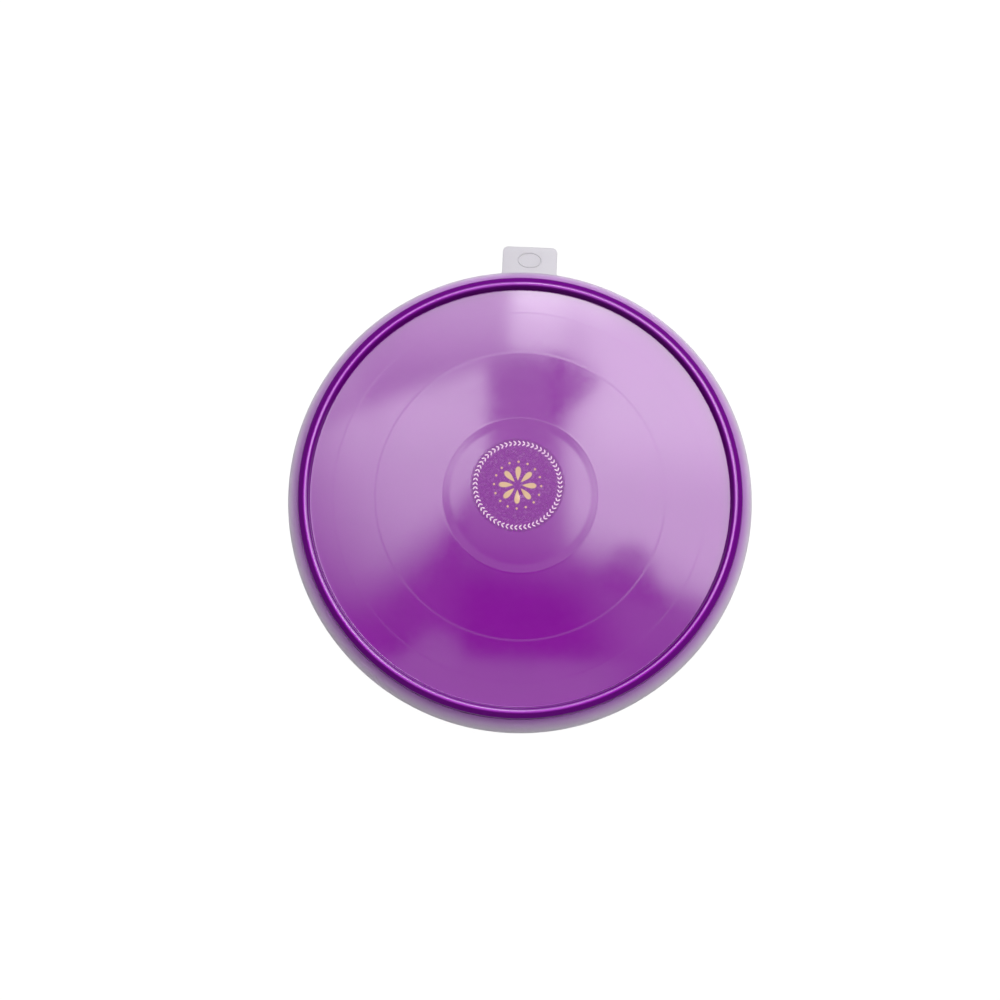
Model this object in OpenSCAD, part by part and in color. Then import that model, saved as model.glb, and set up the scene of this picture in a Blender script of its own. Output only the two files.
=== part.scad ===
// Round cake keeper: a translucent tub with a rolled collar and a thumb tab, and a crowned lid
// whose rim bead drops over the tub's rim. The tub stands on its foot ring at Z = 0, the axis of
// both mouldings is Z, and the thumb tab points along +Y.

/* [Overall] */
// Height from the table to the top of the lid's rim bead
total_h = 100; // [70:1:160]
// Outside diameter of the lid over its skirt
lid_d = 234; // [180:1:300]

/* [Lid rim] */
// Width of the rounded rim bead
bead_w = 6.8; // [6:0.1:9]
// Wall of the channel under the bead
lid_wall = 1.3; // [1:0.1:1.6]
// Height of the skirt, from the top of the bead to its lower edge
skirt_h = 12.7; // [11:0.1:18]
// Drop of the channel's inner wall below the top of the bead
plug_drop = 9.5; // [8:0.1:12]
// How far the snap ridge stands out inside the skirt
snap_h = 0.3; // [0.1:0.05:0.5]
// Drop of the snap ridge below the top of the bead
snap_drop = 6.6; // [6:0.1:9]

/* [Lid panel] */
// Depth of the panel's edge below the middle of the round bead
edge_drop = 1; // [0.9:0.1:4]
// Rise from the panel's edge to the foot of the land
crown = 5.1; // [3:0.1:6]
// Thickness of the panel
panel_t = 1.5; // [1:0.1:2]
// Fillet between the panel and the inside of the bead
edge_fillet = 0.8; // [0.4:0.1:0.8]
// Diameter of the raised land in the middle
land_d = 77; // [66:1:90]
// Step from the crowned panel up to the land
land_step = 0.3; // [0.2:0.05:0.5]
// Width of the sloping edge of the land
land_slope = 3; // [1:0.1:6]
// Diameter of the inner circular rib
inner_rib_d = 152.6; // [110:0.1:165]
// Diameter of the outer circular rib
outer_rib_d = 196.8; // [180:0.1:205]
// Width of the ribs under the panel
rib_w = 1.1; // [0.6:0.1:2]
// Depth of the ribs under the panel
rib_h = 1.6; // [0.5:0.1:2.5]
// Height of the fine line that each rib leaves on top of the panel
rib_line_h = 0.06; // [0.05:0.01:0.3]
// Depth of the gate dimple in the middle of the land
gate_dimple = 0.5; // [0.2:0.1:0.9]

/* [Label] */
// Diameter of the round film label
label_d = 50; // [30:1:58]
// Thickness of the label film
label_t = 0.1; // [0.05:0.01:0.3]
// Offset of the label from the middle of the lid towards -X
label_left = 1.6; // [0:0.1:4]
// Offset of the label from the middle of the lid towards the tab
label_up = 5; // [0:0.1:6]

/* [Tub wall] */
// Wall of the tub
tub_wall = 1.7; // [1.2:0.1:2.2]
// Draft of the wall in degrees
draft = 5; // [2:0.5:8]
// Thickness of the base
base_t = 1.8; // [1.2:0.1:2.6]
// Radius of the outside corner between the wall and the base
corner_r = 10; // [6:0.5:16]
// Rise of the base in the middle
base_dome = 2; // [1:0.1:4]
// Height of the foot ring
foot_h = 2.5; // [1.5:0.1:5]
// Width of the foot ring
foot_w = 3; // [2:0.1:6]
// Distance of the foot ring from the start of the corner
foot_inset = 2; // [0:0.5:6]
// Radius of the gate mark under the base
gate_r = 1.5; // [0.8:0.1:2.5]
// Height of the gate mark under the base
gate_h = 0.6; // [0.3:0.1:0.9]

/* [Tub collar] */
// Drop of the collar's lip below the top of the lid's bead
lip_drop = 4.5; // [4:0.1:7]
// Height of the collar from its lip to its lower edge
collar_h = 18.5; // [14:0.1:26]
// How far the collar reaches out past the lid
collar_reach = 7; // [5:0.1:12]
// Shell of the collar
collar_t = 1.5; // [1:0.1:2]

/* [Thumb tab] */
// Width of the tab
tab_w = 29.5; // [20:0.5:45]
// Length of the tab past the collar
tab_l = 14.4; // [11:0.1:25]
// Thickness of the tab
tab_t = 1.5; // [1:0.1:2.5]
// Radius of the tab's outer corners
tab_corner = 3; // [1:0.1:5]
// Radius of the fillets at the tab's root
tab_root = 2; // [0.5:0.1:4]
// Length of the embossed oval across the tab
oval_l = 13.2; // [8:0.1:18]
// Width of the embossed oval along the tab
oval_w = 8.5; // [6:0.1:9]
// Width of the oval's raised line
oval_line = 0.7; // [0.4:0.1:1.5]
// Height of the oval's raised line
oval_h = 0.3; // [0.1:0.05:0.6]

/* [Fit] */
// Gap between the lid and the tub at the sides
fit = 0.3; // [0.2:0.05:0.5]
// Gap between the tub's rim and the roof of the lid's channel
roof_gap = 1; // [0.5:0.1:2]

/* [Hidden] */
$fn = 180;
overlap = 0.4;
oval_points = 48;

// The lid's radii, from the outside in
lid_r = lid_d / 2;
bead_r = bead_w / 2;
bead_mid = lid_r - bead_r;
channel_out = lid_r - lid_wall;
channel_in = lid_r - bead_w + lid_wall;
panel_r = lid_r - bead_w;
land_r = land_d / 2;
land_foot_r = land_r + land_slope;

// The lid's heights
seat_z = total_h - skirt_h;
bead_z = total_h - bead_r;
edge_z = bead_z - edge_drop;
land_foot_z = edge_z + crown;

// The tub's rim stands in the lid's channel, and the skirt stands in the tub's groove
rim_in = channel_in + fit;
rim_out = channel_out - snap_h - fit;
rim_r = (rim_out - rim_in) / 2;
rim_mid = (rim_out + rim_in) / 2;
rim_z = total_h - lid_wall - roof_gap - rim_r;
wall_out = rim_mid + tub_wall / 2;
wall_in = rim_mid - tub_wall / 2;

// The collar: a lip round the lid's skirt and an arc that flares from it to the lower edge
lip_in = lid_r + fit;
lip_out = lip_in + collar_t;
lip_z = total_h - lip_drop - collar_t / 2;
collar_r = lid_r + collar_reach;
collar_z = total_h - lip_drop - collar_h;
flare_w = collar_r - lip_out;
flare_h = lip_z - collar_t - collar_z;
flare_r = (flare_w * flare_w + flare_h * flare_h) / (2 * flare_w);
flare_x = collar_r - flare_r;
tab_z = collar_z + collar_t / 4;

// The base: the corner's centre lies where its arc meets the drafted wall
base_z = foot_h;
corner_top = base_z + corner_r * (1 - sin(draft));
corner_x = wall_r(wall_out, corner_top) - corner_r * cos(draft);
foot_r = corner_x - foot_inset;
dome_r = foot_r - foot_w;

// Radius of a drafted wall at height z, where it has radius r at the groove's floor
function wall_r(r, z) = r - (seat_z - z) * tan(draft);

// Height of the centre of the circle through two points of a profile, with its centre on the axis
function axis_centre(a, b) = (a * a - b * b) / (2 * (a[1] - b[1]));

// Height of the crowned panel at radius r
crown_z = axis_centre([panel_r, edge_z], [land_foot_r, land_foot_z]);
crown_r = norm([panel_r, edge_z - crown_z]);
function panel_z(r) = crown_z + sqrt(crown_r * crown_r - r * r);

// The land and the label on it follow the crown, each on a larger circle about the same centre
land_arc_r = crown_r + land_step;
land_top_z = crown_z + land_arc_r;

// Rectangle between two corners
module span(low, high) {
    translate(low) square(high - low);
}

// Everything inside a drafted wall with a rounded corner at the base
module drafted(r_top, z_low, fillet, z_top) {
    z_tangent = z_low + fillet * (1 - sin(draft));
    x_centre = wall_r(r_top, z_tangent) - fillet * cos(draft);
    polygon([
        [0, z_low],
        [x_centre, z_low],
        [x_centre, z_low + fillet],
        [wall_r(r_top, z_tangent), z_tangent],
        [wall_r(r_top, z_top), z_top],
        [0, z_top]
    ]);
    intersection() {
        translate([x_centre, z_low + fillet]) circle(fillet);
        span([x_centre, z_low], [x_centre + fillet, z_low + fillet]);
    }
}

// Segment of a circle that rises above height z in the middle
module dome(r, z, rise) {
    z_centre = axis_centre([r, z], [0, z + rise]);
    intersection() {
        translate([0, z_centre]) circle(z + rise - z_centre, $fn = 360);
        span([0, z - overlap], [r, z + rise + overlap]);
    }
}

// Base and drafted wall of the tub, up to the floor of the groove
module bowl_profile() {
    difference() {
        drafted(wall_out, base_z, corner_r, seat_z);
        dome(dome_r, base_z, base_dome);
        difference() {
            drafted(wall_in, base_z + base_t, corner_r - tub_wall, seat_z + overlap);
            dome(dome_r, base_z + base_t, base_dome);
        }
    }
    span([dome_r, 0], [foot_r, base_z + base_t / 2]);
    span([0, base_z + base_dome - gate_h], [gate_r, base_z + base_dome + base_t / 2]);
}

// Upright rim with its round bead, and the groove that takes the lid's skirt
module rim_profile() {
    translate([rim_mid, rim_z]) circle(rim_r);
    span([wall_in, seat_z - collar_t], [wall_out, rim_z]);
    span([wall_in, seat_z - collar_t], [lip_out, seat_z]);
    span([lip_in, seat_z - collar_t], [lip_out, lip_z]);
    translate([lip_in + collar_t / 2, lip_z]) circle(collar_t / 2);
}

// Shell of the collar, flaring from the lip to a rounded lower edge
module collar_profile() {
    intersection() {
        difference() {
            translate([flare_x, collar_z]) circle(flare_r, $fn = 360);
            translate([flare_x, collar_z]) circle(flare_r - collar_t, $fn = 360);
        }
        span([lip_in + collar_t / 2, collar_z], [collar_r + overlap, lip_z]);
    }
    translate([collar_r - collar_t / 2, collar_z]) circle(collar_t / 2);
}

// Outline of the thumb tab from inside the collar's shell to its rounded end
module tab_outline() {
    y_root = collar_r - collar_t;
    y_end = collar_r + tab_l;
    half = tab_w / 2;
    span([-half, y_root], [half, y_end - tab_corner]);
    span([-half + tab_corner, y_root], [half - tab_corner, y_end]);
    for (side = [-1, 1]) {
        translate([side * (half - tab_corner), y_end - tab_corner]) circle(tab_corner);
        difference() {
            translate([side * (half + tab_root / 2), collar_r])
                square([tab_root, 2 * tab_root], center = true);
            translate([side * (half + tab_root), collar_r + tab_root]) circle(tab_root);
        }
    }
}

// Points of an oval of the given length and width
function oval(length, width) = [
    for (i = [0 : oval_points - 1])
        [length / 2 * cos(360 * i / oval_points), width / 2 * sin(360 * i / oval_points)]
];

// Raised line of the oval on top of the tab
module tab_oval() {
    translate([0, collar_r + tab_l / 2, tab_z + tab_t - oval_h]) linear_extrude(2 * oval_h) difference() {
        polygon(oval(oval_l, oval_w));
        polygon(oval(oval_l - 2 * oval_line, oval_w - 2 * oval_line));
    }
}

module tub() {
    color([0.86, 0.84, 0.89, 0.75]) {
        rotate_extrude() {
            bowl_profile();
            rim_profile();
            collar_profile();
        }
        translate([0, 0, tab_z]) linear_extrude(tab_t) tab_outline();
        tab_oval();
    }
}

// Rim bead of the lid with the channel under it, and the snap ridge inside the skirt
module bead_profile() {
    difference() {
        union() {
            translate([bead_mid, bead_z]) circle(bead_r);
            span([channel_out, seat_z], [lid_r, bead_z]);
            span([panel_r, total_h - plug_drop], [channel_in, bead_z]);
        }
        translate([bead_mid, bead_z]) circle(bead_r - lid_wall);
        span([channel_in, seat_z], [channel_out, bead_z]);
    }
    intersection() {
        translate([channel_out + snap_h, total_h - snap_drop]) circle(2 * snap_h);
        span([channel_in, seat_z], [channel_out + lid_wall / 2, bead_z]);
    }
}

// Shell of a circle about the crown's centre, between two radii and out to radius r
module crown_shell(inner, outer, r) {
    intersection() {
        difference() {
            translate([0, crown_z]) circle(outer, $fn = 360);
            translate([0, crown_z]) circle(inner, $fn = 360);
        }
        span([0, edge_z - 2 * panel_t], [r, land_top_z + overlap]);
    }
}

// Crowned panel with the fillet at its edge, and the raised land in its middle
module panel_profile() {
    crown_shell(crown_r - panel_t, crown_r, panel_r + lid_wall / 2);
    difference() {
        span([panel_r - edge_fillet, edge_z - panel_t / 2], [panel_r + lid_wall / 2, edge_z + edge_fillet]);
        translate([panel_r - edge_fillet, edge_z + edge_fillet]) circle(edge_fillet);
    }
    intersection() {
        crown_shell(crown_r - panel_t / 2, land_arc_r, land_foot_r + land_slope);
        land_wedge();
    }
}

// Everything under the sloping edge of the land
module land_wedge() {
    low = land_foot_z - land_step;
    high = land_top_z + land_step;
    run = land_slope / land_step;
    polygon([
        [0, low],
        [land_foot_r + (land_foot_z - low) * run, low],
        [land_foot_r + (land_foot_z - high) * run, high],
        [0, high]
    ]);
}

// One circular rib under the panel and the fine raised line that it leaves on top
module rib_profile(diameter) {
    r = diameter / 2;
    z = panel_z(r);
    span([r - rib_w / 2, z - panel_t - rib_h], [r + rib_w / 2, z - panel_t / 2]);
    translate([r, z + rib_line_h - rib_w]) circle(rib_w);
}

module lid() {
    color([0.48, 0.12, 0.55]) rotate_extrude() {
        bead_profile();
        difference() {
            panel_profile();
            translate([0, land_top_z - gate_dimple + 2 * land_slope]) circle(2 * land_slope);
        }
        rib_profile(inner_rib_d);
        rib_profile(outer_rib_d);
    }
}

// Round film on the land, bent to its crown
module label() {
    color([0.93, 0.86, 0.70]) intersection() {
        rotate_extrude() crown_shell(land_arc_r, land_arc_r + label_t, land_r);
        translate([-label_left, label_up, edge_z]) cylinder(d = label_d, h = 2 * crown);
    }
}

tub();
lid();
label();
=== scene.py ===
# %% [markdown]
# # Round cake keeper with a crowned lid
#
# The object is a wide, low food keeper of injection-moulded polypropylene: a frosted tub with a
# rolled collar and a thumb tab, a purple lid whose rim bead snaps over the tub's rim, and a round
# film label on the lid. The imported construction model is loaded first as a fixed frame, so each
# piece made here takes its place and its main sizes from it, in metres.

# %% Load the frame
import math

import bmesh
import bpy
from mathutils import Matrix, Vector, noise


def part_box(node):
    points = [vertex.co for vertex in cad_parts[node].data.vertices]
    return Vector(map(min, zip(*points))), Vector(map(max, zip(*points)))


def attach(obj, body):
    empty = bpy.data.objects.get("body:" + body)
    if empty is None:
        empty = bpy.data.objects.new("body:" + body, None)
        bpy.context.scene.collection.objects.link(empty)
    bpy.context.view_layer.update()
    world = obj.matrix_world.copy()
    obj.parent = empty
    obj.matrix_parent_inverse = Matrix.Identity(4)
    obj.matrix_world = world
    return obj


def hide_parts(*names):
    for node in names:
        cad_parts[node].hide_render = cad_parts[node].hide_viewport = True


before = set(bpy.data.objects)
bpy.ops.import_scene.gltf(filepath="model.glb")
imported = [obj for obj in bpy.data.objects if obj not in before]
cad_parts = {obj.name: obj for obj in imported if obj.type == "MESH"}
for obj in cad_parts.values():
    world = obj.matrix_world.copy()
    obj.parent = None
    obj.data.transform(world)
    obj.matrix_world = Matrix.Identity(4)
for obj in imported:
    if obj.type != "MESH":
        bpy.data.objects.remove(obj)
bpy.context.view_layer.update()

# %% [markdown]
# ## Sizes
#
# A moulding is drawn as a cross-section in millimetres, as a toolmaker would. The outside sizes are
# read from the frame, so they can't drift from it. Wall thicknesses and small radii can't be read
# from a box, so they are written here as real sizes. One size is more than the frame's: snapped over
# the tub's rim, the lid's thin skirt is stretched by a fifth of a millimetre.

# %% Main sizes from the frame
MM = 0.001
lid_low, lid_high = (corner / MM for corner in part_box("lid"))
tub_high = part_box("tub")[1] / MM
label_low, label_high = (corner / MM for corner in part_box("label"))

skirt_stretch = 0.2
lid_r = lid_high.x + skirt_stretch
skirt_z = lid_low.z
collar_r = tub_high.x
tab_end = tub_high.y
rim_top = tub_high.z
print(f"lid {2 * lid_r:.1f} mm across, collar {2 * collar_r:.1f} mm, height {label_high.z:.1f} mm")

# %% [markdown]
# ## Turning a cross-section into a moulding
#
# Lid and tub are round, so each is one cross-section turned about Z. Blender's Screw modifier could
# do it, but a short function keeps the two poles closed with single points and leaves a plain mesh
# that a later cut can trust. Moulded plastic has no knife edges, so every corner of a
# cross-section carries its own small radius.

# %% Helpers for cross-sections
# A rounded corner has at least so many steps, none longer than so many mm, and takes at most that
# share of each edge beside it.
ROUND_STEPS = 5
ROUND_MM = 0.1
EDGE_SHARE = 0.49


def arc(centre, radius, start, end, steps):
    """Points on an arc between two angles in degrees, both ends included."""
    angles = [math.radians(start + (end - start) * i / steps) for i in range(steps + 1)]
    return [Vector((centre[0] + radius * math.cos(a), centre[1] + radius * math.sin(a))) for a in angles]


def rounded(corners):
    """A cross-section from (x, z, radius) corners, with an arc at each corner that has a radius."""
    points = []
    for i, (x, z, radius) in enumerate(corners):
        corner = Vector((x, z))
        if radius == 0:
            points.append(corner)
            continue
        back = Vector(corners[i - 1][:2]) - corner
        ahead = Vector(corners[i + 1][:2]) - corner
        half = back.angle(ahead) / 2
        reach = min(radius / math.tan(half), EDGE_SHARE * back.length, EDGE_SHARE * ahead.length)
        inward = (back.normalized() + ahead.normalized()).normalized()
        middle = corner + inward * (reach / math.cos(half))
        first = corner + back.normalized() * reach - middle
        last = corner + ahead.normalized() * reach - middle
        turn = first.angle_signed(last)
        steps = max(ROUND_STEPS, math.ceil(first.length * abs(turn) / ROUND_MM))
        for step in range(steps + 1):
            points.append(middle + Matrix.Rotation(-turn * step / steps, 2) @ first)
    return points


def plain(points):
    """Points as corners without a radius, so that arcs and rounded corners can stand in one list."""
    return [(p[0], p[1], 0) for p in points]


# %% Helper that turns a cross-section about Z
TURN_STEPS = 288


def finished(name, mesh):
    """A linked object from a bmesh, with its faces turned outwards and shaded smooth."""
    bmesh.ops.recalc_face_normals(mesh, faces=mesh.faces)
    data = bpy.data.meshes.new(name)
    mesh.to_mesh(data)
    mesh.free()
    data.shade_smooth()
    piece = bpy.data.objects.new(name, data)
    bpy.context.scene.collection.objects.link(piece)
    print(f"{name}: {len(data.vertices)} points, {len(data.polygons)} faces")
    return piece


def join_rings(mesh, rings, points):
    """Fills the gap between each ring of points and the next; a pole is a ring of one point."""
    for low, high in zip(rings, rings[1:]):
        for i in range(points):
            j = (i + 1) % points
            around = [low[i % len(low)], low[j % len(low)], high[j % len(high)], high[i % len(high)]]
            mesh.faces.new(dict.fromkeys(around))


def turned(name, section):
    """A closed mesh object: (radius, height) points in mm, from axis to axis, turned about Z."""
    mesh = bmesh.new()
    rings = []
    for radius, height in section:
        ring = []
        for i in range(TURN_STEPS if radius > 0 else 1):
            angle = 2 * math.pi * i / TURN_STEPS
            x = radius * math.cos(angle)
            y = radius * math.sin(angle)
            ring.append(mesh.verts.new((x * MM, y * MM, height * MM)))
        rings.append(ring)
    join_rings(mesh, rings, TURN_STEPS)
    return finished(name, mesh)


# %% [markdown]
# ## The lid's panel
#
# On the real lid the panel is a shallow dome inside the rim bead, so that it springs down when it is
# pressed. A very shallow round recess in its middle takes the label, and two circular ribs stiffen the
# panel from below. The recess's edge and the ribs leave fine lines on top, where the plastic shrank. A
# bump texture could draw them, but then the mesh itself would lack them. Here all of it is one formula
# of the radius: the dome's arc, less the recess and the gate's dimple, plus the fine lines. Modelled
# like this, they bend a reflection as the real ones do.

# %% Height of the panel's upper side
bead_w = 6.2
lid_wall = 1.3
roof_gap = 1.0
edge_drop = 1.0
crown = 5.1
recess_r = 36.2
recess_slope = 4.8
recess_depth = 0.055
rib_radii = (76.3, 98.4)
gate_r = 1.6
gate_depth = 0.45

bead_r = bead_w / 2
bead_top = rim_top + roof_gap + lid_wall
bead_z = bead_top - bead_r
panel_r = lid_r - bead_w
edge_z = bead_z - edge_drop
recess_edge_r = recess_r + recess_slope
rise = (panel_r**2 - recess_edge_r**2 - crown**2) / (2 * crown)
dome_r = math.hypot(panel_r, rise)
dome_z = edge_z - rise

# radius, height, half width and roughness of each fine line
fine_lines = (
    (recess_edge_r, 0.012, 0.5, 0.15),
    (rib_radii[0], 0.004, 0.7, 0.19),
    (rib_radii[1], 0.004, 0.4, 0.18),
)


def dome(r, drop=0.0):
    """Height of the dome at radius r, or of the sphere that lies drop below it."""
    return dome_z + math.sqrt((dome_r - drop) ** 2 - r**2)


def panel_top(r):
    """Height of the panel's upper side at radius r."""
    fall = min(max((recess_edge_r - r) / recess_slope, 0), 1)
    step = recess_depth * fall**2 * (3 - 2 * fall)
    lines = sum(height * math.exp(-(((r - at) / width) ** 2)) for at, height, width, _ in fine_lines)
    return dome(r) - step + lines - gate_depth * math.exp(-((r / gate_r) ** 2))


# %% Points of the panel's upper side, out to its edge
fillet_r = 1.0
gate_zone_r = 5
gate_step = 0.25
dome_end_r = 110
dome_step = 2
slope_step = 0.4
line_step = 0.2
line_side = 7

# the rings lie close together where the height changes fast: gate, recess's slope and fine lines
radii = [gate_step * i for i in range(round(gate_zone_r / gate_step))]
radii += [*range(gate_zone_r, dome_end_r, dome_step), dome_end_r]
radii += [recess_r + slope_step * i for i in range(round(recess_slope / slope_step))]
for at, _, _, _ in fine_lines:
    radii += [at + line_step * i for i in range(-line_side, line_side + 1)]
panel_points = plain([(r, panel_top(r)) for r in sorted(set(radii))])
panel_points += [(panel_r, dome(panel_r), fillet_r)]
print(f"dome radius {dome_r:.0f} mm, panel edge {bead_top - edge_z:.1f} mm under the bead's top")

# %% [markdown]
# ## The lid's rim and underside
#
# The rim is a hollow bead over a channel that the tub's rim snaps into, with a skirt on the outside.
# Its top is a tight round crest, which draws one narrow line of light, between a steep flank inside and
# a wide sloping flank outside. A half-round bead would be simpler to draw, but its highlight comes out
# twice as broad. Each flank is the straight line from its lower end that just touches the crest's
# circle. The underside shows when the lid is lifted, so the channel, the snap ridge and the two ribs
# are all in the section.

# %% Points of the rim, from the inside of the bead over its crest and into the channel
crest_in = 3.7
crest_r = 2.0
shoulder_drop = 2.25
shoulder_r = 0.8
arch_drop = 0.4
panel_t = 1.5
plug_drop = 9.5
snap_h = 0.3
snap_drop = 6.6
snap_round = 0.3
edge_round = 0.35
plug_round = 0.5
crest_steps = 48
arch_steps = 16

crest_x = lid_r - crest_in
crest_z = bead_top - crest_r
shoulder_z = bead_top - shoulder_drop
bead_x = lid_r - bead_r
channel_out = lid_r - lid_wall
channel_in = panel_r + lid_wall
snap_z = bead_top - snap_drop
plug_z = bead_top - plug_drop


def flank_slope(away, drop):
    """Slope in degrees of the line that touches the crest, from a point beside and below its middle."""
    return math.degrees(math.atan2(drop, away) + math.asin(crest_r / math.hypot(away, drop)))


slope_in = flank_slope(crest_x - panel_r, crest_z - edge_z)
slope_out = flank_slope(lid_r - crest_x, crest_z - shoulder_z)
rim_points = plain(arc((crest_x, crest_z), crest_r, 90 + slope_in, 90 - slope_out, crest_steps))
rim_points += [(lid_r, shoulder_z, shoulder_r)]
rim_points += [(lid_r, skirt_z, edge_round), (channel_out, skirt_z, edge_round)]
rim_points += [(channel_out, snap_z - 2 * snap_h, snap_round), (channel_out - snap_h, snap_z, snap_round)]
rim_points += [(channel_out, snap_z + 2 * snap_h, snap_round)]
rim_points += plain(arc((bead_x, bead_z - arch_drop), bead_r - lid_wall, 0, 180, arch_steps))
rim_points += [(channel_in, plug_z, edge_round), (panel_r, plug_z, edge_round)]
rim_points += [(panel_r, dome(panel_r, panel_t), plug_round)]
print(f"bead flanks slope {slope_in:.0f} degrees inside and {slope_out:.0f} degrees outside")

# %% Points of the underside, from the rim back to the axis
rib_w = 1.1
rib_h = 1.6
rib_round = 0.3
rib_margin = 3
field_r = 68
field_step = 4

under_points = []
for rib in sorted(rib_radii, reverse=True):
    under = dome(rib, panel_t)
    under_points += [(rib + rib_margin, dome(rib + rib_margin, panel_t), 0)]
    under_points += [(rib + rib_w / 2, under, rib_round), (rib + rib_w / 2, under - rib_h, rib_round)]
    under_points += [(rib - rib_w / 2, under - rib_h, rib_round), (rib - rib_w / 2, under, rib_round)]
    under_points += [(rib - rib_margin, dome(rib - rib_margin, panel_t), 0)]
under_points += plain([(r, dome(r, panel_t)) for r in range(field_r, -1, -field_step)])

lid = turned("lid_moulding", rounded(panel_points + rim_points + under_points))
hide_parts("lid")
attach(lid, "lid")

# %% [markdown]
# ## The tub
#
# The tub is a drafted bowl on a foot ring. Near the top it splits into an upright rim, which snaps
# into the lid, a groove that takes the lid's skirt, and a collar that rolls outwards and down. Its
# section is one long walk round the plastic, from the gate mark under the base to the middle of the
# floor inside.

# %% Sizes of the tub
tub_wall = 1.7
draft = math.radians(5)
base_t = 1.8
corner_r = 10.0
base_rise = 2.0
foot_h = 2.5
foot_w = 3.0
foot_inset = 2.0
foot_round = 0.5
foot_root = 0.6
gate_mark_r = 1.5
gate_mark_h = 0.6
gate_mark_round = 0.3
fit = 0.3
lip_gap = 0.15
collar_t = 1.5
lip_drop = 4.5
collar_h = 18.5

rim_in = channel_in + fit
rim_out = channel_out - snap_h - fit
rim_x = (rim_in + rim_out) / 2
rim_r = (rim_out - rim_in) / 2
rim_z = rim_top - rim_r
wall_out = rim_x + tub_wall / 2
wall_in = rim_x - tub_wall / 2
lip_in = lid_r + lip_gap
lip_out = lip_in + collar_t
lip_z = bead_top - lip_drop - collar_t / 2
collar_z = bead_top - lip_drop - collar_h
print(f"tub rim {2 * rim_r:.1f} mm thick, groove {lip_in - wall_out:.1f} mm wide")

# %% Points of the tub's outside, from the gate mark up to the collar's root
collar_root = 1.0
groove_round = 0.5
corner_steps = 14
rise_steps = 20


def wall_x(at_groove, z):
    """Radius of a drafted wall at height z, from its radius at the groove's floor."""
    return at_groove - (skirt_z - z) * math.tan(draft)


def corner_arc(at_groove, base, radius):
    """Arc from the flat of the base up to the drafted wall."""
    tangent_z = base + radius * (1 - math.sin(draft))
    centre = (wall_x(at_groove, tangent_z) - radius * math.cos(draft), base + radius)
    return arc(centre, radius, -90, -math.degrees(draft), corner_steps)


def rise_points(edge_r, edge, rise):
    """Domed middle of the base, from the axis out to edge_r."""
    shares = [i / rise_steps for i in range(1, rise_steps)]
    return [(edge_r * share, edge + rise * (1 - share**2)) for share in shares]


outer_corner = corner_arc(wall_out, foot_h, corner_r)
foot_out = outer_corner[0].x - foot_inset
foot_in = foot_out - foot_w
gate_z = foot_h + base_rise
mark_z = gate_z - gate_mark_h
root_z = skirt_z - collar_t

outside = [(0, mark_z, 0), (gate_mark_r, mark_z, gate_mark_round), (gate_mark_r, gate_z, gate_mark_round)]
outside += plain(rise_points(foot_in, foot_h, base_rise))
outside += [(foot_in, foot_h, foot_root), (foot_in, 0, foot_round)]
outside += [(foot_out, 0, foot_round), (foot_out, foot_h, foot_root)]
outside += plain(outer_corner)
outside += [(wall_x(wall_out, root_z), root_z, collar_root), (lip_out, root_z, groove_round)]
print(f"foot ring {2 * foot_out:.1f} mm across, wall drafted by {math.degrees(draft):.0f} degrees")

# %% Points of the collar and the groove
lip_land = 0.3
lip_dip = 0.1
lip_round = 0.25
flare_root = 0.6
flare_steps = 30
under_steps = 24
edge_steps = 12

flare_w = collar_r - lip_out
flare_h = lip_z - collar_t - collar_z
flare_r = (flare_w**2 + flare_h**2) / (2 * flare_w)
flare_x = collar_r - flare_r
flare_top = math.degrees(math.acos((lip_in + lip_land - flare_x) / flare_r))
under_top = math.degrees(math.acos((lip_out - flare_x) / (flare_r - collar_t)))

under_flare = arc((flare_x, collar_z), flare_r - collar_t, under_top, 0, under_steps)
over_flare = arc((flare_x, collar_z), flare_r, 0, flare_top, flare_steps)
collar = [(under_flare[0].x, under_flare[0].y, flare_root)]
collar += plain(under_flare[1:-1])
collar += plain(arc((collar_r - collar_t / 2, collar_z), collar_t / 2, -180, 0, edge_steps))
collar += plain(over_flare[1:])
collar += [(lip_in, over_flare[-1].y - lip_dip, lip_round)]
collar += [(lip_in, skirt_z, groove_round), (wall_out, skirt_z, groove_round)]
print(f"collar flares by {flare_w:.1f} mm over {flare_h:.1f} mm, on a radius of {flare_r:.0f} mm")

# %% Points of the rim and the tub's inside, and the turned tub
rim_root = 2.0
rim_steps = 28

rim_angle = math.degrees(math.asin(tub_wall / 2 / rim_r))
inner_corner = corner_arc(wall_in, foot_h + base_t, corner_r - tub_wall)
inside = plain(arc((rim_x, rim_z), rim_r, rim_angle - 90, 270 - rim_angle, rim_steps))
inside += [(wall_in, skirt_z, rim_root)]
inside += plain(reversed(inner_corner))
inside += plain(reversed(rise_points(foot_in, foot_h + base_t, base_rise)))
inside += [(0, foot_h + base_t + base_rise, 0)]

tub = turned("tub_moulding", rounded(outside + collar + inside))

# %% [markdown]
# ## The thumb tab
#
# The tab is a flat tongue on the collar's lower edge with a raised oval that tells the thumb where to
# push. It is extruded from its outline, its edges get a small bevel, and a Boolean joins it to the
# collar, because frosted plastic would show a second skin where two solids only overlap.

# %% The tab, from its outline
tab_w = 29.5
tab_t = 1.5
tab_corner = 3.0
tab_root = 2.0
root_step = 0.3
tab_bevel = 0.3
bevel_steps = 3
same_level = 1e-9

tab_z = collar_z + collar_t / 4
tab_half = tab_w / 2
tab_in = collar_r - collar_t


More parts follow.
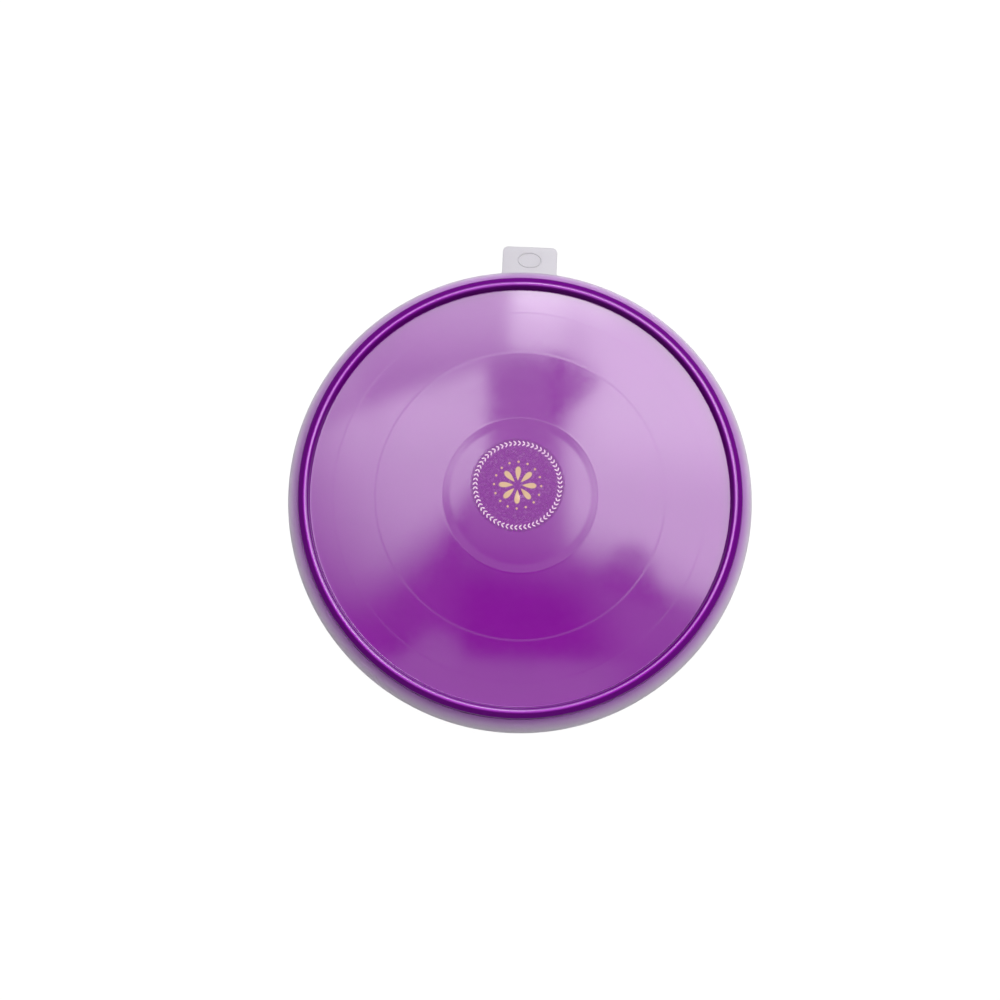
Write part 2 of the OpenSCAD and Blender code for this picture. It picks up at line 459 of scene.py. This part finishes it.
def slab(name, outline, low, high, bevel):
    """A flat piece in mm between two heights, with its upper and lower edges bevelled."""
    mesh = bmesh.new()
    floor = mesh.faces.new([mesh.verts.new((x * MM, y * MM, low * MM)) for x, y in outline])
    grown = bmesh.ops.extrude_face_region(mesh, geom=[floor])
    lifted = [v for v in grown["geom"] if isinstance(v, bmesh.types.BMVert)]
    bmesh.ops.translate(mesh, verts=lifted, vec=(0, 0, (high - low) * MM))
    level = [e for e in mesh.edges if abs(e.verts[0].co.z - e.verts[1].co.z) < same_level]
    bmesh.ops.bevel(
        mesh, geom=level, offset=bevel * MM, segments=bevel_steps, affect="EDGES", profile=0.5
    )
    return finished(name, mesh)


def collar_edge(x):
    """How far the collar's outside reaches along Y at x."""
    return math.sqrt(collar_r**2 - x**2)


root_x = tab_half + tab_root
right_side = [(root_x, tab_in, 0), (root_x, collar_edge(root_x), 0)]
right_side += [(tab_half, collar_edge(tab_half) + root_step, tab_root), (tab_half, tab_end, tab_corner)]
left_side = [(-x, y, radius) for x, y, radius in reversed(right_side)]
tab_outline = rounded(right_side + left_side)
tab = slab("tab", [(p.x, p.y) for p in tab_outline], tab_z, tab_z + tab_t, tab_bevel)

# %% The raised oval, and one joined tub
oval_l = 13.2
oval_w = 8.9
oval_line = 0.9
oval_h = 0.45
oval_sunk = 0.2
oval_steps = 6
sharp_angle = math.radians(40)


def oval_ring(points):
    """A raised line that follows the oval: a half-round section carried round it."""
    mesh = bmesh.new()
    rings = []
    for i in range(points):
        a = 2 * math.pi * i / points
        ring = []
        for across, height in arc((0, 0), 1.0, 0, 180, oval_steps):
            out = across * oval_line / 2
            x = (oval_l / 2 - oval_line / 2 + out) * math.cos(a)
            y = (oval_w / 2 - oval_line / 2 + out) * math.sin(a) + (collar_r + tab_end) / 2
            z = tab_z + tab_t + (height - oval_sunk) * oval_h
            ring.append(mesh.verts.new((x * MM, y * MM, z * MM)))
        rings.append(ring)
    for i, ring in enumerate(rings):
        following = rings[(i + 1) % points]
        for k in range(len(ring)):
            m = (k + 1) % len(ring)
            mesh.faces.new((ring[k], ring[m], following[m], following[k]))
    return finished("oval", mesh)


def join_solids(target, *others):
    """Joins solids to target with an exact Boolean, applied to its mesh."""
    for other in others:
        union = target.modifiers.new("join", "BOOLEAN")
        union.operation = "UNION"
        union.solver = "EXACT"
        union.object = other
        evaluated = target.evaluated_get(bpy.context.evaluated_depsgraph_get())
        joined = bpy.data.meshes.new_from_object(evaluated)
        target.modifiers.clear()
        target.data = joined
        bpy.data.objects.remove(other)
    target.data.set_sharp_from_angle(angle=sharp_angle)
    print(f"{target.name}: {len(target.data.polygons)} faces after joining")


join_solids(tub, tab, oval_ring(points=64))
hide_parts("tub")
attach(tub, "tub")

# %% [markdown]
# ## The film label
#
# The label is a clear film disc on the recess's floor. Laid by hand, it dips a little into the gate's
# dimple and is never quite flat, so its height gets a trace of noise. A flat disc would shine all at
# once; this one glints here and there.

# %% Film that follows the recess's floor
label_x = (label_low.x + label_high.x) / 2
label_y = (label_low.y + label_high.y) / 2
label_r = (label_high.x - label_low.x) / 2
film_t = 0.08
film_dip = 0.4
wrinkle_h = 0.015
wrinkle_size = 2.5


def film_z(x, y):
    """Height of the film's lower side: the recess's floor, with a shallow dip and faint wrinkles."""
    r = math.hypot(x, y)
    dip = film_dip * math.exp(-((r / gate_r) ** 2))
    wrinkle = wrinkle_h * noise.noise((x / wrinkle_size, y / wrinkle_size, 0.0))
    return dome(r) - recess_depth - dip + wrinkle + wrinkle_h


def film_disc(rings, points):
    """A thin closed disc: the film's lower side out to its edge and its upper side back."""
    mesh = bmesh.new()
    loops = []
    for lift, order in ((0.0, range(rings + 1)), (film_t, range(rings, -1, -1))):
        for k in order:
            loop = []
            for i in range(points if k else 1):
                a = 2 * math.pi * i / points
                x = label_x + label_r * k / rings * math.cos(a)
                y = label_y + label_r * k / rings * math.sin(a)
                loop.append(mesh.verts.new((x * MM, y * MM, (film_z(x, y) + lift) * MM)))
            loops.append(loop)
    join_rings(mesh, loops, points)
    return finished("film_label", mesh)


label = film_disc(rings=40, points=144)
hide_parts("label")
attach(label, "lid")

# %% [markdown]
# ## Colours and nodes
#
# Colours are written as sRGB hex values, as a paint program shows them, but shaders count in linear
# light, so one function converts them. A second small function adds a node, sets it up and links it,
# which keeps each material readable from top to bottom.

# %% Helpers for materials
def colour(hex_code):
    """Linear RGBA from an sRGB hex code."""
    parts = [int(hex_code[i : i + 2], 16) / 255 for i in (1, 3, 5)]
    linear = [c / 12.92 if c <= 0.04045 else ((c + 0.055) / 1.055) ** 2.4 for c in parts]
    return (*linear, 1.0)


def add(tree, kind, sockets=None, **settings):
    """Adds a node with its settings; sockets holds values, or outputs of other nodes to link."""
    node = tree.nodes.new("ShaderNode" + kind)
    for name, value in settings.items():
        setattr(node, name, value)
    for key, value in (sockets or {}).items():
        if isinstance(value, bpy.types.NodeSocket):
            tree.links.new(value, node.inputs[key])
        else:
            node.inputs[key].default_value = value
    return node


def new_material(name):
    """An empty node material, with coordinates in millimetres of the rest pose to scale patterns by."""
    material = bpy.data.materials.new(name)
    material.use_nodes = True
    tree = material.node_tree
    tree.nodes.clear()
    place = add(tree, "TexCoord").outputs["Object"]
    in_mm = add(tree, "VectorMath", {0: place, "Scale": 1 / MM}, operation="SCALE").outputs[0]
    return material, tree, in_mm


# %% [markdown]
# ## Purple gloss polypropylene
#
# The lid is polypropylene moulded in a polished tool. It is an opaque strong purple under a clear
# shine that is a little soft: reflections of the panels show, but their edges blur. The rim's sides
# stand in shade, so a deeper purple is painted on the rim as painted shade, and its crest gets a
# lighter purple as a painted highlight. The panel is never quite flat after it shrinks, so a long,
# very low wave bends the reflections. Rubbed spots are only a change of gloss, and the fine lines are
# a little duller too, so both are drawn as roughness.

# %% Lid colour: streaks of pigment, painted shade on the rim and a painted highlight on the crest
PURPLE_DEEP = colour("#700981")
PURPLE_LIGHT = colour("#780E88")
# painted shade: a deeper purple on the rim, whose sides stand in shade
PURPLE_RIM_SHADE = colour("#5A006E")
# painted highlight: a lighter purple along the rim's crest
PURPLE_CREST_HIGHLIGHT = colour("#9A1BB2")
CREST_HIGHLIGHT_MM = 1.1
RIM_BLEND_MM = 0.4
FLOW_MM = 28.0

purple_pp, tree, in_mm = new_material("polypropylene_gloss_moulded")
flow = add(tree, "TexNoise", {"Vector": in_mm, "Scale": 1 / FLOW_MM, "Detail": 3.0})
streaked = {"Factor": flow.outputs[0], "A": PURPLE_DEEP, "B": PURPLE_LIGHT}
pigment = add(tree, "Mix", streaked, data_type="RGBA").outputs["Result"]
across = add(tree, "VectorMath", {0: in_mm, 1: (1, 1, 0)}, operation="MULTIPLY").outputs[0]
out = add(tree, "VectorMath", {0: across}, operation="LENGTH").outputs["Value"]
# painted shade: the rim outside the panel's edge is mixed towards the darker purple
at_bead = {0: out, 1: panel_r - RIM_BLEND_MM, 2: panel_r + RIM_BLEND_MM}
on_rim = add(tree, "MapRange", at_bead).outputs[0]
rim_shading = {"Factor": on_rim, "A": pigment, "B": PURPLE_RIM_SHADE}
rim_shaded = add(tree, "Mix", rim_shading, data_type="RGBA").outputs["Result"]
# painted highlight: lighter purple within a millimetre or so of the crest
off_crest = add(tree, "Math", {0: out, 1: crest_x}, operation="SUBTRACT").outputs[0]
from_crest = add(tree, "Math", {0: off_crest}, operation="ABSOLUTE").outputs[0]
crest_highlight = add(tree, "MapRange", {0: from_crest, 1: 0.0, 2: CREST_HIGHLIGHT_MM, 3: 1.0, 4: 0.0}).outputs[0]
highlighted = {"Factor": crest_highlight, "A": rim_shaded, "B": PURPLE_CREST_HIGHLIGHT}
body = add(tree, "Mix", highlighted, data_type="RGBA").outputs["Result"]
print(f"lid colour: lighter within {CREST_HIGHLIGHT_MM} mm of the crest at radius {crest_x:.1f} mm")

# %% Lid gloss: rubbed spots, duller lines and a low wave
RUB_MM = 3.5
POLISHED = 0.07
RUBBED = 0.10
LINE_CORE = 0.4
LINE_FADED = 1.6
WAVE_MM = 22.0
WAVE_HEIGHT_MM = 0.05

rub = add(tree, "TexNoise", {"Vector": in_mm, "Scale": 1 / RUB_MM, "Detail": 4.0})
dull = add(tree, "MapRange", {0: rub.outputs[0], 1: 0.35, 2: 0.75, 3: POLISHED, 4: RUBBED}).outputs[0]
for at, _, width, roughness in fine_lines:
    aside = add(tree, "Math", {0: out, 1: at}, operation="SUBTRACT").outputs[0]
    away = add(tree, "Math", {0: aside}, operation="ABSOLUTE").outputs[0]
    fading = {0: away, 1: LINE_CORE * width, 2: LINE_FADED * width, 3: roughness, 4: 0.0}
    drawn = add(tree, "MapRange", fading).outputs[0]
    dull = add(tree, "Math", {0: dull, 1: drawn}, operation="MAXIMUM").outputs[0]
wave = add(tree, "TexNoise", {"Vector": in_mm, "Scale": 1 / WAVE_MM, "Detail": 1.0})
uneven = {"Height": wave.outputs[0], "Strength": 0.35, "Distance": WAVE_HEIGHT_MM * MM}
waviness = add(tree, "Bump", uneven)
print("lid gloss: roughness", POLISHED, "to", RUBBED, "and", len(fine_lines), "duller lines")

# %% Lid material
PP_IOR = 1.49

shader = add(
    tree,
    "BsdfPrincipled",
    {
        "Base Color": body,
        "Roughness": dull,
        "Normal": waviness.outputs[0],
        "IOR": PP_IOR,
        "Specular IOR Level": 0.6,
    },
)
add(tree, "OutputMaterial", {"Surface": shader.outputs[0]})
lid.data.materials.append(purple_pp)
print("lid finish:", purple_pp.name)

# %% [markdown]
# ## Frosted natural polypropylene
#
# The tub is unpigmented polypropylene from a finely eroded tool. Natural PP is milky: part of the
# light goes through and is spread, and part comes straight back. Next to the lid it takes up purple
# light, which fades over a few millimetres. Scattering inside the plastic would give that too, but
# slowly and with noise, so here it is painted light: a purple tint that depends on the radius. The
# collar hangs over its own shadow, and so does the thin tab, so both get a greyer colour as painted
# shade. The grain of the tool is finer than a pixel, so it is drawn coarser here.

# %% Tub colour: milk with clouds, painted shade on the collar and the tab, and the lid's painted purple light
NATURAL_PP = colour("#F8F6FB")
NATURAL_PP_DENSE = colour("#F0ECF5")
# painted light: purple light that the lid throws on the collar, fading outwards
LIT_BY_LID = colour("#C25FDA")
LIT_FROM_MM = -0.2
LIT_REACH_MM = 7.0
# painted shade: the collar hangs over its own shadow
OVER_SHADOW = colour("#DEDAE2")
SKIRT_EDGE_MM = 0.1
# painted shade: the tab lets light through to the shadowed floor and looks greyer
TAB_SHADE = colour("#C6C3CA")
TAB_FROM_MM = -1.0
TAB_REACH_MM = 0.5
CLOUD_MM = 16.0

frosted_pp, tree, in_mm = new_material("polypropylene_natural_frosted")
cloud = add(tree, "TexNoise", {"Vector": in_mm, "Scale": 1 / CLOUD_MM, "Detail": 2.0})
clouded = {"Factor": cloud.outputs[0], "A": NATURAL_PP, "B": NATURAL_PP_DENSE}
milk = add(tree, "Mix", clouded, data_type="RGBA").outputs["Result"]
across = add(tree, "VectorMath", {0: in_mm, 1: (1, 1, 0)}, operation="MULTIPLY").outputs[0]
out = add(tree, "VectorMath", {0: across}, operation="LENGTH").outputs["Value"]
from_lid = {0: out, 1: lip_in + LIT_FROM_MM, 2: lip_in + LIT_REACH_MM, 3: 1.0, 4: 0.0}
near_lid = add(tree, "MapRange", from_lid).outputs[0]
beyond_skirt = add(tree, "Math", {0: out, 1: lid_r - SKIRT_EDGE_MM}, operation="GREATER_THAN").outputs[0]
lit = add(tree, "Math", {0: near_lid, 1: beyond_skirt}, operation="MULTIPLY").outputs[0]
at_tab = {0: out, 1: collar_r + TAB_FROM_MM, 2: collar_r + TAB_REACH_MM}
on_tab = add(tree, "MapRange", at_tab).outputs[0]
body = milk
# painted shade on collar and tab, then the painted purple light from the lid
for where, tone in ((beyond_skirt, OVER_SHADOW), (on_tab, TAB_SHADE), (lit, LIT_BY_LID)):
    body = add(tree, "Mix", {"Factor": where, "A": body, "B": tone}, data_type="RGBA").outputs["Result"]
print(f"tub colour: tinted from radius {lip_in:.1f} to {lip_in + LIT_REACH_MM:.1f} mm")

# %% Tub grain and material
GRAIN_MM = 0.7
GRAIN_HEIGHT_MM = 0.03
FROST_FINE = 0.36
FROST_COARSE = 0.46

grain = add(tree, "TexNoise", {"Vector": in_mm, "Scale": 1 / GRAIN_MM, "Detail": 2.0})
frost = add(tree, "MapRange", {0: grain.outputs[0], 3: FROST_FINE, 4: FROST_COARSE})
eroded = {"Height": grain.outputs[0], "Strength": 0.25, "Distance": GRAIN_HEIGHT_MM * MM}
texture = add(tree, "Bump", eroded)
shader = add(
    tree,
    "BsdfPrincipled",
    {
        "Base Color": body,
        "Roughness": frost.outputs[0],
        "Normal": texture.outputs[0],
        "IOR": PP_IOR,
        "Transmission Weight": 0.6,
    },
)
add(tree, "OutputMaterial", {"Surface": shader.outputs[0]})
tub.data.materials.append(frosted_pp)
print("tub finish:", frosted_pp.name)

# %% [markdown]
# ## Printed clear film
#
# The label is clear polypropylene film with a light print: a plain garland of small leaves in cream
# round a gold rosette. Both are drawn with polar coordinates about the label's middle. The bare film
# is half clear and fades out towards its edge, so the purple shows through, and tiny bubbles under it
# show as pale specks. It is matt, and glossy only where it dips into the gate.

# %% Print of the label, as rings of small leaves, petals and dots
# radius of the ring, number, tilt in degrees, half length, half width; all lengths in mm
CREAM_RINGS = ((23.0, 60, 40.0, 0.95, 0.36), (21.7, 60, -40.0, 0.95, 0.36))
GOLD_RINGS = ((6.2, 8, 90.0, 3.7, 1.3), (12.4, 16, 0.0, 0.6, 0.6))
INK_EDGE = 0.08

label_film, tree, in_mm = new_material("polypropylene_film_printed")
centred = add(tree, "VectorMath", {0: in_mm, 1: (label_x, label_y, 0)}, operation="SUBTRACT").outputs[0]
spot = add(tree, "SeparateXYZ", {0: centred}).outputs
flat = add(tree, "CombineXYZ", {0: spot[0], 1: spot[1]}).outputs[0]
out = add(tree, "VectorMath", {0: flat}, operation="LENGTH").outputs["Value"]
turn = add(tree, "Math", {0: spot[1], 1: spot[0]}, operation="ARCTAN2").outputs[0]


def ink(rings):
    """1 where one of the rings of tilted ovals is printed."""
    printed = None
    for radius, number, tilt, half_l, half_w in rings:
        half = math.pi / number
        share = add(tree, "Math", {0: turn, 1: half, 2: -half}, operation="WRAP").outputs[0]
        along = add(tree, "Math", {0: share, 1: radius}, operation="MULTIPLY").outputs[0]
        across = add(tree, "Math", {0: out, 1: radius}, operation="SUBTRACT").outputs[0]
        place = add(tree, "CombineXYZ", {0: along, 1: across}).outputs[0]
        swing = {0: place, "Angle": math.radians(-tilt)}
        tilted = add(tree, "VectorRotate", swing, rotation_type="Z_AXIS").outputs[0]
        by_size = {0: tilted, 1: (1 / half_l, 1 / half_w, 0)}
        scaled = add(tree, "VectorMath", by_size, operation="MULTIPLY").outputs[0]
        size = add(tree, "VectorMath", {0: scaled}, operation="LENGTH").outputs["Value"]
        edge = {0: size, 1: 1 - INK_EDGE, 2: 1 + INK_EDGE, 3: 1.0, 4: 0.0}
        oval = add(tree, "MapRange", edge).outputs[0]
        if printed is None:
            printed = oval
        else:
            printed = add(tree, "Math", {0: printed, 1: oval}, operation="MAXIMUM").outputs[0]
    return printed


print("print:", len(CREAM_RINGS), "rings of leaves round", len(GOLD_RINGS), "rings of petals and dots")

# %% Label material
PRINT_CREAM = colour("#CDB6C8")
PRINT_GOLD = colour("#BA9A78")
FILM_TINT = colour("#841E94")
SPECK_MM = 1.1
SPECK_COVER = 0.18
FADE_MM = 2.5
BARE_COVER = 0.6
GATE_GLOSS = 0.1
FILM_MATT = 0.38

cream = ink(CREAM_RINGS)
gold = ink(GOLD_RINGS)
printed = add(tree, "Math", {0: cream, 1: gold}, operation="MAXIMUM").outputs[0]
speckle = add(tree, "TexNoise", {"Vector": in_mm, "Scale": 1 / SPECK_MM, "Detail": 3.0}).outputs[0]
bubbles = add(tree, "MapRange", {0: speckle, 1: 0.5, 2: 0.75, 3: 0.0, 4: SPECK_COVER}).outputs[0]
inked = FILM_TINT
for where, tone in ((bubbles, PRINT_CREAM), (cream, PRINT_CREAM), (gold, PRINT_GOLD)):
    inked = add(tree, "Mix", {"Factor": where, "A": inked, "B": tone}, data_type="RGBA").outputs["Result"]
bare = add(tree, "MapRange", {0: out, 1: label_r - FADE_MM, 2: label_r, 3: BARE_COVER, 4: 0.0}).outputs[0]
cover = add(tree, "Math", {0: printed, 1: bare}, operation="MAXIMUM").outputs[0]
on_lid = add(tree, "VectorMath", {0: in_mm, 1: (1, 1, 0)}, operation="MULTIPLY").outputs[0]
off_gate = add(tree, "VectorMath", {0: on_lid}, operation="LENGTH").outputs["Value"]
at_gate = {0: off_gate, 1: gate_r, 2: 2 * gate_r, 3: GATE_GLOSS, 4: FILM_MATT}
gloss = add(tree, "MapRange", at_gate).outputs[0]
shader = add(
    tree,
    "BsdfPrincipled",
    {"Base Color": inked, "Alpha": cover, "Roughness": gloss, "IOR": PP_IOR, "Specular IOR Level": 0.3},
)
add(tree, "OutputMaterial", {"Surface": shader.outputs[0]})
label.data.materials.append(label_film)
print("label finish:", label_film.name)

# %% [markdown]
# ## Floor
#
# A pale sweep stands for the studio table. For light that bounces it is plain white paint. For the
# camera, and for rays that gloss or clear plastic send to it, part of it glows at a strength near 1,
# so the background comes out white while the object still keeps its shadow.

# %% White floor
FLOOR_SIZE = 12.0
FLOOR_WHITE = colour("#DCDCDC")
FLOOR_GLOW = 0.96
MIRRORED_GLOW = 0.3
GLOW_STRENGTH = 1.04

floor_mesh = bmesh.new()
bmesh.ops.create_grid(floor_mesh, x_segments=1, y_segments=1, size=FLOOR_SIZE / 2)
floor = finished("floor", floor_mesh)
floor_paint = bpy.data.materials.new("matt_white_paint")
floor_paint.use_nodes = True
tree = floor_paint.node_tree
tree.nodes.clear()
rays = add(tree, "LightPath").outputs
sent_on = {0: rays["Is Glossy Ray"], 1: rays["Is Transmission Ray"]}
looks = add(tree, "Math", sent_on, operation="MAXIMUM").outputs[0]
dimmed = add(tree, "Math", {0: looks, 1: MIRRORED_GLOW}, operation="MULTIPLY").outputs[0]
straight = add(tree, "Math", {0: rays["Is Camera Ray"], 1: FLOOR_GLOW}, operation="MULTIPLY").outputs[0]
share = add(tree, "Math", {0: straight, 1: dimmed}, operation="MAXIMUM").outputs[0]
paint = add(tree, "BsdfDiffuse", {"Color": FLOOR_WHITE}).outputs[0]
glow = add(tree, "Emission", {"Color": colour("#FFFFFF"), "Strength": GLOW_STRENGTH}).outputs[0]
mixed = add(tree, "MixShader", {0: share, 1: paint, 2: glow}).outputs[0]
add(tree, "OutputMaterial", {"Surface": mixed})
floor.data.materials.append(floor_paint)
print("floor finish:", floor_paint.name)

# %% [markdown]
# ## Studio light
#
# Gloss only looks like gloss when it has something to mirror. Large soft panels hang over the object
# on the left and on the right, with brighter ones behind the thumb tab and windows far out. The middle
# and the camera's side have only dim panels, and two black cards cut dark patches. Area lamps would
# do, but their brightness is even from edge to edge. These panels are drawn on the world, in degrees
# from straight up, as polygons with soft edges, so that each edge can be as sharp or as soft as a real
# softbox's.

# %% Directions of the world in degrees from straight up
world = bpy.data.worlds.new("soft_studio")
bpy.context.scene.world = world
world.use_nodes = True
tree = world.node_tree
tree.nodes.clear()
ray = add(tree, "SeparateXYZ", {0: add(tree, "TexCoord").outputs["Generated"]}).outputs
lean = []
for side in ("X", "Y"):
    angle = add(tree, "Math", {0: ray[side], 1: ray["Z"]}, operation="ARCTAN2").outputs[0]
    lean.append(add(tree, "Math", {0: angle}, operation="DEGREES").outputs[0])
sky_place = add(tree, "CombineXYZ", {0: lean[0], 1: lean[1]}).outputs[0]


def soft_polygon(corners):
    """1 inside a convex polygon of the sky, 0 outside.

    Each corner is (x, y, half the blur of the edge that starts there), anticlockwise, in degrees.
    """
    inside = None
    for i, (x, y, blur) in enumerate(corners):
        following = corners[(i + 1) % len(corners)]
        inward = Vector((y - following[1], following[0] - x)).normalized()
        facing = {0: sky_place, 1: (*inward, 0)}
        depth = add(tree, "VectorMath", facing, operation="DOT_PRODUCT").outputs["Value"]
        edge = inward.dot(Vector((x, y)))
        ramp = {0: depth, 1: edge - blur, 2: edge + blur}
        step = add(tree, "MapRange", ramp, interpolation_type="SMOOTHSTEP").outputs[0]
        if inside is None:
            inside = step
        else:
            inside = add(tree, "Math", {0: inside, 1: step}, operation="MULTIPLY").outputs[0]
    return inside


# %% Soft panels and black cards
AMBIENT = 0.08

# corners of each panel, and how much light it adds
PANELS = (
    # left, with brighter parts at its far end and at its top
    (((-9.5, 0.6, 2.4), (-5, 5, 0.8), (-2.6, 10, 0.6), (-2.7, 14.5, 0.5), (-2.9, 18.3, 1.0),
      (-16, 13.6, 1.0), (-18, 12.6, 10.0), (-18, 2.4, 8.0)), 5.76),
    (((-22, 10, 3.0), (-12.5, 10, 1.0), (-13.5, 18, 3.0), (-22, 18, 3.0)), 1.12),
    (((-14, 11, 3.5), (-3.4, 11, 0.8), (-2.9, 18.3, 1.0), (-14, 14.3, 4.0)), 1.44),
    # right, and its brighter upper part
    (((3.5, 9, 1.4), (4.4, 2.5, 1.4), (14, -0.4, 4.0), (26, -4.6, 8.0), (26, 33, 8.0),
      (3.4, 33, 1.1)), 6.64),
    (((5, 11, 4.0), (24, 11, 6.0), (24, 30, 8.0), (5, 30, 2.0)), 2.4),
    # back, and its brighter upper part
    (((-1.3, 19.3, 0.5), (3.5, 19.3, 1.1), (3.4, 36, 8.0), (-1.3, 36, 0.8)), 8.96),
    (((-1.3, 22.5, 1.8), (8, 22.5, 4.0), (8, 36, 8.0), (-1.3, 36, 0.8)), 4.0),
    # back left, and its brighter right part
    (((-16, 13.6, 1.0), (-2.9, 18.3, 1.0), (-1.3, 19, 0.8), (-1.3, 34, 8.0), (-26, 34, 8.0),
      (-26, 10.3, 8.0)), 4.8),
    (((-9, 19, 3.0), (-1.3, 19, 0.8), (-1.3, 34, 8.0), (-9, 34, 5.0)), 1.44),
    # middle
    (((-4.4, 2.9, 3.5), (4.5, 1.7, 1.0), (3.4, 19.3, 0.5), (-2.7, 19.3, 0.6)), 1.68),
    # windows far out on the right and behind the tab
    (((30, 10, 8.0), (64, 10, 8.0), (64, 68, 8.0), (30, 68, 8.0)), 3.6),
    (((-30, 40, 8.0), (30, 40, 8.0), (30, 68, 8.0), (-30, 68, 10.0)), 2.08),
    # dim panels on the camera's side
    (((-18, -26, 8.0), (10, -26, 3.0), (10, -5.8, 0.5), (-18, -6.3, 8.0)), 1.36),
    (((9, -6.3, 2.0), (18, -6.3, 3.0), (18, 1, 1.5), (5, 2, 3.0)), 0.96),
    (((-14, -5, 1.0), (-5, -5, 2.0), (-4, 3, 2.0), (-14, 3, 3.0)), 0.32),
    (((-9.2, -6.3, 0.4), (-3.9, -6.3, 0.4), (-4.3, -4.3, 0.4), (-6.6, -3.8, 0.5)), 1.28),
)

# corners of each black card, and how much light it takes away
CARDS = (
    (((2.5, 13.0, 0.5), (6.6, 17.2, 0.4), (6.3, 17.9, 0.4), (2.5, 19.4, 0.5)), 0.74),
    (((6.6, 0.5, 0.5), (12.5, -1.5, 0.5), (11.2, 2.4, 0.5), (10.6, 3.9, 0.5), (8.1, 3.6, 0.6)), 0.68),
)

# %% Light of the panels and cards together
level = None
for corners, strength in PANELS:
    total = AMBIENT if level is None else level
    panel = soft_polygon(corners)
    level = add(tree, "Math", {0: panel, 1: strength, 2: total}, operation="MULTIPLY_ADD").outputs[0]
for corners, depth in CARDS:
    card = soft_polygon(corners)
    kept = add(tree, "Math", {0: card, 1: -depth, 2: 1.0}, operation="MULTIPLY_ADD").outputs[0]
    level = add(tree, "Math", {0: level, 1: kept}, operation="MULTIPLY").outputs[0]

# %% The white that the camera sees instead of the panels
rays = add(tree, "LightPath").outputs
straight = {0: rays["Is Camera Ray"], 1: rays["Is Transmission Ray"]}
seen = add(tree, "Math", straight, operation="MAXIMUM").outputs[0]
strength = add(tree, "Mix", {"Factor": seen, "A": level, "B": 1.0}, data_type="FLOAT").outputs["Result"]
sky = add(tree, "Background", {"Color": colour("#FFFFFF"), "Strength": strength}).outputs[0]
add(tree, "OutputWorld", {"Surface": sky})
bpy.context.scene.view_settings.view_transform = "Standard"
print("studio:", len(PANELS), "soft panels and", len(CARDS), "black cards")

# %% [markdown]
# ## Camera
#
# The photograph looks down at the lid from almost straight above, a little from the front. A long lens
# from over a metre away keeps the circles nearly round. The lid's middle isn't in the middle of the
# picture, so the camera is moved sideways by that many pixels instead of being turned.

# %% Camera over the lid
LENS_MM = 85.0
SENSOR_MM = 36.0
VIEW_DISTANCE = 1.2455
VIEW_TILT = math.radians(7.3)
VIEW_TURN = math.radians(2.4)
PICTURE_PX = 1000
LID_CENTRE_PX = (520.2, 496.2)
LID_LEVEL_MM = 95.5

camera_data = bpy.data.cameras.new("camera")
camera_data.lens = LENS_MM
camera_data.sensor_width = SENSOR_MM
camera = bpy.data.objects.new("camera", camera_data)
bpy.context.scene.collection.objects.link(camera)
turn = Matrix.Rotation(VIEW_TURN, 3, "Z") @ Matrix.Rotation(VIEW_TILT, 3, "X")
pixel = VIEW_DISTANCE * SENSOR_MM / LENS_MM / PICTURE_PX
right = (PICTURE_PX / 2 - LID_CENTRE_PX[0]) * pixel
up = (LID_CENTRE_PX[1] - PICTURE_PX / 2) * pixel
camera.matrix_world = turn.to_4x4()
camera.location = Vector((0, 0, LID_LEVEL_MM * MM)) + turn @ Vector((right, up, VIEW_DISTANCE))
bpy.context.scene.camera = camera
print("camera at", [round(c, 3) for c in camera.location])

# %% Update the scene and finish
bpy.context.view_layer.update()
